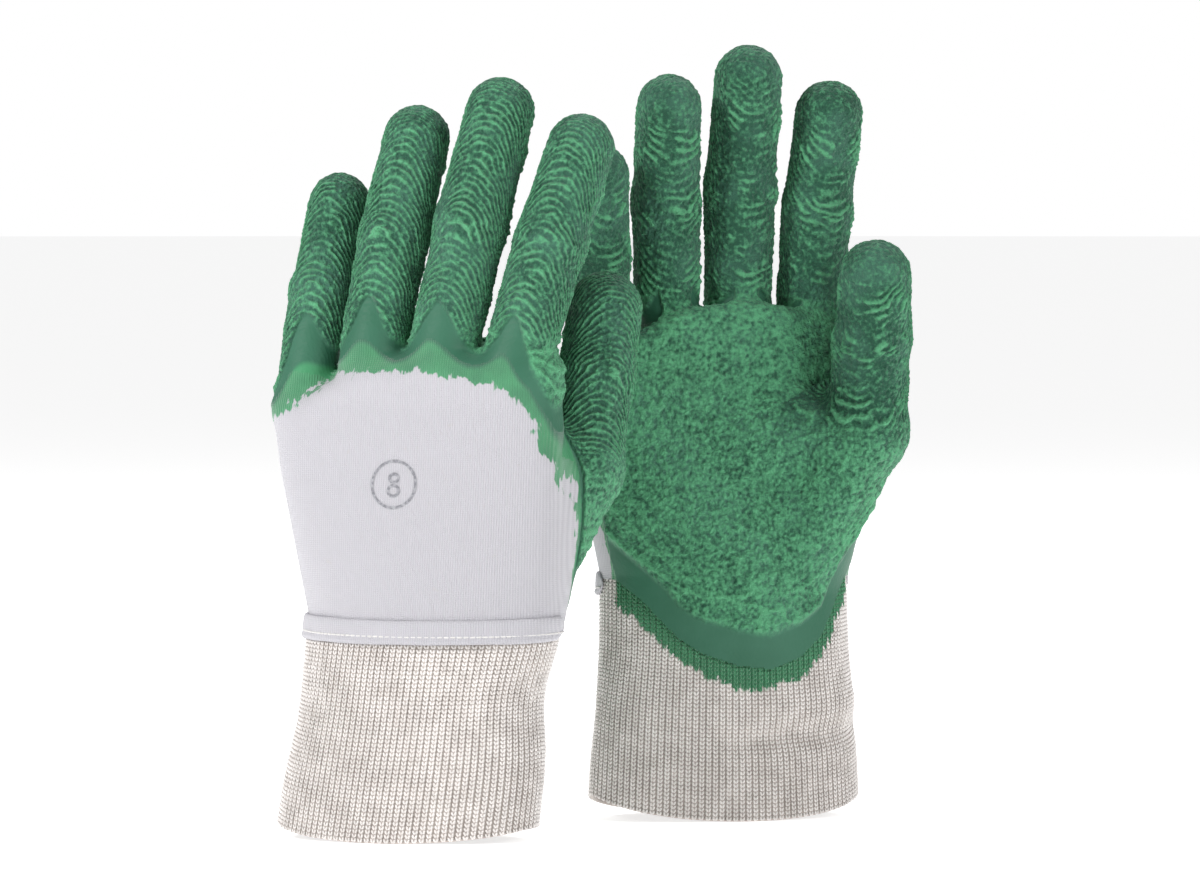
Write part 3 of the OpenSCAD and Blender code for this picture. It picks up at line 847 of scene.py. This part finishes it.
class Recipe:
    """Short names for the nodes of one material."""

    def __init__(self, material):
        self.tree = material.node_tree

    def node(self, kind, **settings):
        made = self.tree.nodes.new(kind)
        for key, value in settings.items():
            setattr(made, key, value)
        return made

    def wire(self, value, socket):
        if isinstance(value, bpy.types.NodeSocket):
            self.tree.links.new(value, socket)
        else:
            socket.default_value = value

    def measured(self, name):
        return self.node("ShaderNodeAttribute", attribute_name=name).outputs["Fac"]

    def math(self, operation, a, b=0.0):
        made = self.node("ShaderNodeMath", operation=operation)
        self.wire(a, made.inputs[0])
        self.wire(b, made.inputs[1])
        return made.outputs[0]

    def ramp(self, value, low, high):
        made = self.node("ShaderNodeMapRange", interpolation_type="SMOOTHSTEP")
        self.wire(value, made.inputs["Value"])
        made.inputs["From Min"].default_value = low
        made.inputs["From Max"].default_value = high
        return made.outputs["Result"]

    def mix(self, share, a, b):
        made = self.node("ShaderNodeMix", data_type="RGBA")
        self.wire(share, made.inputs[0])
        self.wire(a, made.inputs[6])
        self.wire(b, made.inputs[7])
        return made.outputs[2]

    def noise(self, scale, detail=2.0, stretch=(1, 1, 1)):
        place = self.node("ShaderNodeTexCoord").outputs["Object"]
        mapping = self.node("ShaderNodeMapping")
        mapping.inputs["Scale"].default_value = stretch
        self.wire(place, mapping.inputs["Vector"])
        made = self.node("ShaderNodeTexNoise")
        made.inputs["Scale"].default_value = scale
        made.inputs["Detail"].default_value = detail
        self.wire(mapping.outputs[0], made.inputs["Vector"])
        return made.outputs["Fac"]

    def bump(self, height, depth, strength=1.0, below=None):
        made = self.node("ShaderNodeBump")
        made.inputs["Strength"].default_value = strength
        made.inputs["Distance"].default_value = depth
        self.wire(height, made.inputs["Height"])
        if below is not None:
            self.wire(below, made.inputs["Normal"])
        return made.outputs["Normal"]


# %% Green latex
# The crest green and the valley green are painted light: the crinkle crests are painted lighter and the
# valleys darker, standing in for the shade that falls in the hollows.
CREST_HIGHLIGHT_GREEN = (0.110, 0.410, 0.205, 1)
VALLEY_SHADE_GREEN = (0.016, 0.088, 0.050, 1)
# The grey-green is painted sheen: the whitish look of matte latex at a grazing angle, mixed into the valleys
# in random patches.
SHEEN_GREY_GREEN = (0.095, 0.255, 0.185, 1)
FILM_GREEN = (0.028, 0.125, 0.072, 1)
SOAK_GREEN = (0.055, 0.260, 0.118, 1)
CLOTH_WHITE = (0.50, 0.49, 0.525, 1)


def latex_material():
    material, shader = new_material("crinkled_green_latex", 0.66, 0.12)
    shader.inputs["Sheen Roughness"].default_value = 0.5
    shader.inputs["Sheen Tint"].default_value = (0.75, 1.0, 0.88, 1)
    shader.inputs["Specular IOR Level"].default_value = 0.3
    r = Recipe(material)
    rough = r.measured("rough")
    crumbs = r.node("ShaderNodeTexVoronoi", feature="SMOOTH_F1")
    crumbs.inputs["Scale"].default_value = 780
    r.wire(r.node("ShaderNodeTexCoord").outputs["Object"], crumbs.inputs["Vector"])
    crumb = r.math("SUBTRACT", 0.75, crumbs.outputs["Distance"])
    grain = r.math("ADD", r.noise(800, 4.0), r.math("MULTIPLY", crumb, 0.35))
    wobble = r.math("MULTIPLY", r.math("SUBTRACT", r.noise(420, 3.0), 0.5), 1.6)
    angle = r.math("MULTIPLY", r.math("ADD", r.measured("slices"), wobble), 2 * math.pi / WRINKLE)
    ridge = r.math("POWER", r.math("ADD", r.math("MULTIPLY", r.math("COSINE", angle), 0.5), 0.5), 2.4)
    ridge = r.math("MULTIPLY", ridge, r.measured("arch"))
    spread = r.math("MULTIPLY", r.math("SUBTRACT", grain, 0.6), 1.7)
    # The crinkle's height and its ridge lines pick the colour between the valley green and the crest green:
    # painted shade in the valleys and painted highlight on the crests and ridge lines.
    crinkle_light_level = r.math("ADD", r.math("ADD", r.measured("tone"), r.math("MULTIPLY", ridge, 0.45)), spread)
    patch = r.noise(60, 2.0)
    # The valleys are the dark valley green with random patches of the grey-green: painted shade with painted
    # sheen.
    valley = r.mix(r.math("MULTIPLY", r.ramp(patch, 0.4, 0.7), 0.35), VALLEY_SHADE_GREEN, SHEEN_GREY_GREEN)
    crinkled = r.mix(r.ramp(crinkle_light_level, 0.0, 1.1), valley, CREST_HIGHLIGHT_GREEN)
    smooth = r.mix(r.ramp(patch, 0.3, 0.7), FILM_GREEN, (0.036, 0.140, 0.085, 1))
    smooth = r.mix(r.measured("film"), SOAK_GREEN, smooth)
    r.wire(r.mix(rough, smooth, crinkled), shader.inputs["Base Color"])
    fine = r.math("ADD", r.noise(1000, 5.0), r.math("MULTIPLY", ridge, 0.6))
    fine = r.math("ADD", fine, r.math("MULTIPLY", crumb, 0.5))
    height = r.math("MULTIPLY", fine, r.math("ADD", rough, 0.08))
    r.wire(r.bump(height, 0.0016, 1.0), shader.inputs["Normal"])
    r.wire(r.math("SUBTRACT", 0.74, r.math("MULTIPLY", r.math("SUBTRACT", 1.0, rough), 0.22)),
           shader.inputs["Roughness"])
    return material


latex = latex_material()

# %% [markdown]
# ## Cloth that has soaked up latex
# The edge of the dip is ragged, because wet latex creeps further along some threads
# than along others. Noise that is stretched along the threads is added to the measured
# distance, so the edge breaks into short spikes.

# %% White jersey with a soaked edge
def soaked_edge(r, spread, stretch):
    """1 where the cloth is green, 0 where it is bare."""
    spikes = r.noise(520, 2.0, stretch)
    slow = r.noise(150, 1.0)
    reach = r.math("ADD", r.math("MULTIPLY", r.math("SUBTRACT", spikes, 0.5), spread),
                   r.math("MULTIPLY", r.math("SUBTRACT", slow, 0.5), spread * 0.7))
    return r.ramp(r.math("ADD", r.measured("dip"), reach), -0.45, 0.55)


def jersey_material(name, with_dip):
    material, shader = new_material(name, 0.9, 0.35)
    r = Recipe(material)
    shader.inputs["Sheen Roughness"].default_value = 0.6
    place = r.node("ShaderNodeTexCoord").outputs["Object"]
    mapping = r.node("ShaderNodeMapping")
    mapping.inputs["Rotation"].default_value = (0, 0, math.radians(18))
    r.wire(place, mapping.inputs["Vector"])
    wales = r.node("ShaderNodeTexWave", wave_type="BANDS", bands_direction="X", wave_profile="SIN")
    wales.inputs["Scale"].default_value = 420
    wales.inputs["Distortion"].default_value = 0.7
    wales.inputs["Detail"].default_value = 1.0
    r.wire(mapping.outputs[0], wales.inputs["Vector"])
    courses = r.node("ShaderNodeTexWave", wave_type="BANDS", bands_direction="Z", wave_profile="SIN")
    courses.inputs["Scale"].default_value = 520
    courses.inputs["Distortion"].default_value = 1.2
    r.wire(mapping.outputs[0], courses.inputs["Vector"])
    knit = r.math("ADD", wales.outputs["Fac"], r.math("MULTIPLY", courses.outputs["Fac"], 0.45))
    fleck = r.ramp(r.noise(420, 3.0), 0.66, 0.74)
    cloth = r.mix(r.ramp(knit, 0.1, 1.2), (0.44, 0.43, 0.465, 1), CLOTH_WHITE)
    cloth = r.mix(r.math("MULTIPLY", fleck, 0.25), cloth, (0.45, 0.42, 0.40, 1))
    if with_dip:
        wet = soaked_edge(r, 8.5, (1, 1, 0.40))
        tone = r.mix(r.ramp(r.noise(90, 2.0), 0.35, 0.7), SOAK_GREEN, (0.043, 0.205, 0.098, 1))
        film = r.mix(r.measured("film"), tone, FILM_GREEN)
        cloth = r.mix(wet, cloth, film)
    r.wire(cloth, shader.inputs["Base Color"])
    depth = r.math("ADD", knit, r.math("MULTIPLY", r.noise(1500, 3.0), 0.8))
    r.wire(r.bump(depth, 0.00016, 0.8), shader.inputs["Normal"])
    return material


def knit_material(name, base, deep):
    material, shader = new_material(name, 0.92, 0.3)
    r = Recipe(material)
    shade = r.mix(r.ramp(r.noise(160, 3.0), 0.3, 0.72), deep, base)
    fuzz = r.noise(2600, 3.0)
    shade = r.mix(r.math("MULTIPLY", r.ramp(fuzz, 0.5, 0.8), 0.3), shade, (0.86, 0.84, 0.81, 1))
    wet = soaked_edge(r, 6.5, (1, 1, 0.22))
    shade = r.mix(wet, shade, r.mix(r.noise(200, 2.0), SOAK_GREEN, (0.045, 0.2, 0.10, 1)))
    r.wire(shade, shader.inputs["Base Color"])
    r.wire(r.bump(fuzz, 0.00012, 0.7), shader.inputs["Normal"])
    return material


jersey = jersey_material("cotton_jersey", True)
hem_cloth = jersey_material("cotton_hem", False)
yarn = knit_material("cuff_yarn", (0.86, 0.825, 0.805, 1), (0.73, 0.69, 0.665, 1))
# The cuff tube under the stitches gets the same white yarn made much darker: painted shade in the gaps
# between the stitch columns.
gap_shade_yarn = knit_material("cuff_grooves", (0.50, 0.445, 0.41, 1), (0.40, 0.35, 0.32, 1))
thread, thread_shader = new_material("sewing_thread", 0.75, 0.2)
r = Recipe(thread)
r.wire(r.mix(r.noise(1800, 2.0, (1, 1, 0.3)), (0.80, 0.79, 0.78, 1), (0.64, 0.62, 0.60, 1)),
       thread_shader.inputs["Base Color"])
ink, ink_shader = new_material("faded_grey_ink", 0.85)
r = Recipe(ink)
r.wire(r.mix(r.ramp(r.noise(900, 3.0), 0.35, 0.7), (0.20, 0.20, 0.22, 1), (0.40, 0.40, 0.43, 1)),
       ink_shader.inputs["Base Color"])
print("materials:", [m.name for m in bpy.data.materials])

# %% Knit the cuffs
for glove in gloves:
    side = glove["side"]
    turns, around = even_turns(glove, glove["ribs"])
    courses = int((glove["seam"] - 2.0) / COURSE)
    rise = (np.arange(courses) + 0.6) / courses * 0.985
    turn, height = np.meshgrid(turns, rise, indexing="ij")
    turn, height = turn.ravel(), height.ravel()
    p, out = cuff_ring(glove, turn, height)
    ahead, _ = cuff_ring(glove, turn + 1e-3, height)
    p = p - out * 0.22 + out * (0.10 * noise(p, 2.0, 31))[:, None]
    dip = dip_distance(glove, p)
    shown = dip < 9.0
    along = unit_rows(ahead - p - ((ahead - p) * out).sum(1)[:, None] * out)
    if glove["side"] == "right":
        along = -along
    piece = set_stitches(f"{side}_cuff_stitches", glove, p[shown], along[shown], out[shown], knit_v, yarn,
                         {"dip": dip[shown]})
    glove["pieces"]["knit"].append(piece)
    piece.data.shade_smooth()
    print(side, "knit:", int(shown.sum()), "stitches,", triangles(piece), "triangles")


# %% [markdown]
# ## The folded hem
# The lower edge of the jersey back is folded under and sewn to the top of the cuff. It
# is a soft flat roll round the back of the wrist, from one side seam to the other. A
# flattened ring is swept along the wrist and closed at both ends.

# %% Hem and its stitches
HEM_HEIGHT = 7.6
HEM_STEPS, HEM_RING = 300, 26
HEM_START, HEM_STOP = math.radians(176), math.radians(361)


def hem_sag(angle):
    """The hem hangs lowest in the middle of the back."""
    return 1.1 * np.sin((angle - HEM_START) / (HEM_STOP - HEM_START) * np.pi) - 0.6


def wrist_line(glove, angle, z):
    w, t = glove["wrist"]
    down = np.clip((glove["seam"] - z) / glove["seam"], 0, 1)
    x = w * np.cos(angle) + glove["foot_shift"] * down
    return np.stack([x, t * np.sin(angle), z], axis=-1)


for glove in gloves:
    side, seam = glove["side"], glove["seam"]
    steps, ring = HEM_STEPS, HEM_RING
    angle = np.linspace(HEM_START, HEM_STOP, steps)
    rows = []
    for k, a in enumerate(angle):
        round_it = np.linspace(0, 2 * np.pi, ring, endpoint=False)
        ends = min(1.0, (min(k, steps - 1 - k) + 0.6) / 14.0) ** 0.6
        up = np.sign(np.sin(round_it)) * np.abs(np.sin(round_it)) ** 0.55
        thick = np.sign(np.cos(round_it)) * np.abs(np.cos(round_it)) ** 0.7
        z = seam + 0.5 - HEM_HEIGHT / 2 - hem_sag(a) + up * HEM_HEIGHT / 2 * ends
        roll = 0.25 * np.exp(-((up + 0.72) / 0.22) ** 2) - 0.35 * np.exp(-((up + 0.35) / 0.16) ** 2)
        outward = unit(np.array([math.cos(a), math.sin(a), 0]) / [*glove["wrist"], 1])
        proud = 1.0 + (0.85 * thick + np.where(thick > 0, roll, 0)) * ends
        rows.append(wrist_line(glove, np.full(ring, a), z) + np.outer(proud, outward))
    band = np.concatenate(rows)
    wobble = [noise(band, 5.0, 40), noise(band, 5.0, 41), 0.6 * noise(band, 9.0, 42)]
    band = band + 0.28 * np.stack(wobble, axis=1)
    quads = grid_quads(steps, ring)
    caps = []
    for first, turned in ((0, False), ((steps - 1) * ring, True)):
        for k in range(ring // 2 - 1):
            quad = [first + k, first + k + 1, first + ring - 2 - k, first + ring - 1 - k]
            caps.append(quad[::-1] if not turned else quad)
    quads = np.concatenate([quads, np.array(caps)])
    hem = make_piece(f"{side}_hem_band", glove, band, quads)
    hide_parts(f"{side}_hem")
    a = np.linspace(HEM_START + 0.06, HEM_STOP - 0.06, 62)
    z = seam + 0.5 - HEM_HEIGHT * 0.67 - hem_sag(a)
    out = unit_rows(np.stack([np.cos(a) / glove["wrist"][0], np.sin(a) / glove["wrist"][1], 0 * a], axis=1))
    places = wrist_line(glove, a, z) + out * 1.7
    along = np.gradient(places, axis=0)
    seamed = set_stitches(f"{side}_hem_stitches", glove, places, along, out, sewn, thread)
    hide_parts(f"{side}_seam_thread")
    seamed.data.shade_smooth()
    glove["pieces"]["hem"] = [hem]
    glove["pieces"]["thread"] = [seamed]
    print(side, "hem:", triangles(hem), "triangles,", len(a), "stitches")


# %% [markdown]
# ## The lining
# Looking into the open cuff shows the inside of the cotton hand. It is a plain bag, so
# rings just inside the skin are enough, closed at the knuckles and facing inwards.

# %% Cotton lining
LINING_INSET = 4.2
for glove in gloves:
    side, seam = glove["side"], glove["seam"]
    rings = palm_rings(glove)
    columns = 96
    angle = np.linspace(0, 2 * np.pi, columns, endpoint=False)
    rows = []
    for z in list(np.linspace(-2.0, 54.0, 18)) + [57.5, 59.5, 60.2]:
        cx, a, b, n = (np.interp(z, rings[:, 0], rings[:, i]) for i in (1, 2, 3, 4))
        near_top = math.sqrt(max(0.0, 1 - max(0.0, (z - 48) / 12.4) ** 2))
        c, s = np.cos(angle), np.sin(angle)
        rho = (np.abs(c) ** n + np.abs(s) ** n) ** (-1 / n) * near_top
        rows.append(np.stack([cx + (a - LINING_INSET) * rho * c, (b - LINING_INSET) * rho * s,
                              np.full(columns, seam + z)], axis=1))
    bag = np.concatenate(rows)
    bag = bag + 0.4 * np.stack([noise(bag, 9.0, 50), noise(bag, 9.0, 51), 0 * bag[:, 0]], axis=1)
    top = len(bag)
    bag = np.concatenate([bag, bag[-columns:].mean(axis=0)[None]])
    quads = grid_quads(len(rows), columns)[:, ::-1]
    last = top - columns + np.arange(0, columns, 2)
    cap = np.stack([last, np.full(len(last), top), top - columns + (np.arange(0, columns, 2) + 2) % columns,
                    top - columns + np.arange(0, columns, 2) + 1], axis=1)
    lining = make_piece(f"{side}_lining", glove, bag, np.concatenate([quads, cap]))
    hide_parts(f"{side}_jersey_palm")
    glove["pieces"]["hem"].append(lining)
    print(side, "lining:", triangles(lining), "triangles")


# %% [markdown]
# ## The size stamp
# Work gloves carry their size on the back of the hand, printed in grey ink. Here it is a
# plain ring with the numeral eight, made of three thin bands of ink that are laid on the
# cloth by looking up the height of the skin under each point.

# %% Ink rings laid on the jersey
INK = 0.14
INK_RINGS = ((0, 7.6, 7.6, 0.85), (1.95, 1.9, 1.75, 0.95), (-1.95, 2.25, 2.1, 0.95))


def nearest_depth(glove, x, z):
    """Y of the back of the hand under each (x, z)."""
    y = np.full(len(x), -60.0)
    for _ in range(60):
        p = np.stack([x, y, z], axis=1)
        y = y + np.clip(hand_distance(glove, p), -1.0, 3.0) * 0.8
    return y


for glove in gloves:
    centre = np.array([-8.0, glove["seam"] + 42.0])
    flat, faces = [], []
    for cz, radius_x, radius_z, thick in INK_RINGS:
        count = 72
        base = len(flat)
        for edge in (0, 1):
            for k in range(count):
                a = 2 * math.pi * k / count
                flat.append((centre[0] + (radius_x - edge * thick) * math.cos(a),
                             centre[1] + cz + (radius_z - edge * thick) * math.sin(a)))
        for k in range(count):
            n = (k + 1) % count
            faces.append([base + k, base + n, base + count + n, base + count + k])
    flat = np.array(flat)
    y = nearest_depth(glove, flat[:, 0], flat[:, 1])
    marks = np.stack([flat[:, 0], y, flat[:, 1]], axis=1)
    lean = unit_rows(slope_of(lambda p: hand_distance(glove, p), marks))
    marks = marks - lean * (CLOTH_SINK - INK)
    stamp = make_piece(f"{glove['side']}_size_stamp", glove, marks, np.array(faces)[:, ::-1])
    glove["pieces"]["ink"] = [stamp]
    print(glove["side"], "stamp: %.1f mm across" % np.ptp(flat[:, 0]))


# %% [markdown]
# ## Dressing and fastening
# Every piece gets its material and rides on the hand it belongs to. The finger skins
# already bend between their two bodies.

# %% Dress and ride
FINISHES = {"coat": (latex, "latex"), "jersey": (jersey, "jersey"), "knit": (yarn, "rib_knit"),
            "hem": (hem_cloth, "jersey"), "thread": (thread, "thread"), "ink": (ink, "jersey")}
for glove in gloves:
    for kind, pieces in glove["pieces"].items():
        material, slot = FINISHES[kind]
        for piece in pieces:
            piece.data.materials.clear()
            # The cuff tube gets the darkened yarn, which is painted shade in the gaps between the stitches.
            piece.data.materials.append(gap_shade_yarn if piece.name.endswith("cuff_tube") else material)
            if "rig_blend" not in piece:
                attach(piece, f"{glove['side']}_hand")
for spare in (knit_v, sewn):
    bpy.data.objects.remove(spare)

# %% [markdown]
# ## Light, floor and camera
# The gloves stand on a pale light table, which glows a little and so stays white to its
# far edge. Large soft lights keep the shadows gentle, and one from the upper left rakes
# across the crinkles so they read.

# %% Studio
def soft_light(name, place, aim, width, power):
    data = bpy.data.lights.new(name, "AREA")
    data.shape, data.size, data.energy = "SQUARE", width, power
    lamp = add_object(name, data)
    lamp.location = place
    track(lamp, aim)


def track(thing, aim):
    direction = np.array(aim) - np.array(thing.location)
    flat = math.hypot(direction[0], direction[1])
    turn = math.atan2(direction[1], direction[0]) - math.pi / 2
    thing.rotation_euler = (math.atan2(flat, -direction[2]), 0, turn)


FLOOR_RADIUS = 14
around = np.linspace(0, 2 * math.pi, 64, endpoint=False)
rim = [(FLOOR_RADIUS * math.cos(a), FLOOR_RADIUS * math.sin(a), 0.0) for a in around]
floor_mesh = bpy.data.meshes.new("pale_floor")
floor_mesh.from_pydata(rim, [], [tuple(range(64))])
floor = add_object("pale_floor", floor_mesh)
paper, paper_shader = new_material("light_table", 0.9)
paper_shader.inputs["Base Color"].default_value = (0.85, 0.85, 0.85, 1)
paper_shader.inputs["Emission Color"].default_value = (1, 1, 1, 1)
paper_shader.inputs["Emission Strength"].default_value = 0.70
floor_mesh.materials.append(paper)

world = bpy.data.worlds.new("studio")
bpy.context.scene.world = world
world.use_nodes = True
air = world.node_tree
sky = air.nodes["Background"]
sky.inputs["Color"].default_value = (1, 1, 1, 1)
seen = air.nodes.new("ShaderNodeLightPath")
level = air.nodes.new("ShaderNodeMapRange")
level.inputs["To Min"].default_value = 0.26
level.inputs["To Max"].default_value = 1.0
air.links.new(seen.outputs["Is Camera Ray"], level.inputs["Value"])
air.links.new(level.outputs["Result"], sky.inputs["Strength"])
soft_light("key", (-1.15, -0.85, 1.0), (0, 0, 0.12), 0.4, 19)
soft_light("fill", (1.3, -1.1, 0.9), (0.04, 0, 0.12), 0.5, 12)
soft_light("back", (0.2, 1.1, 1.6), (0, 0.3, 0.1), 1.4, 20)

camera_data = bpy.data.cameras.new("camera")
camera_data.sensor_width = 36
camera_data.lens = 284
camera_data.clip_end = 50
camera = add_object("camera", camera_data)
camera.location = (0.0016, -3.0, 0.228)
track(camera, (0.0016, 0, 0.1234))
bpy.context.scene.camera = camera
bpy.context.scene.view_settings.view_transform = "Standard"
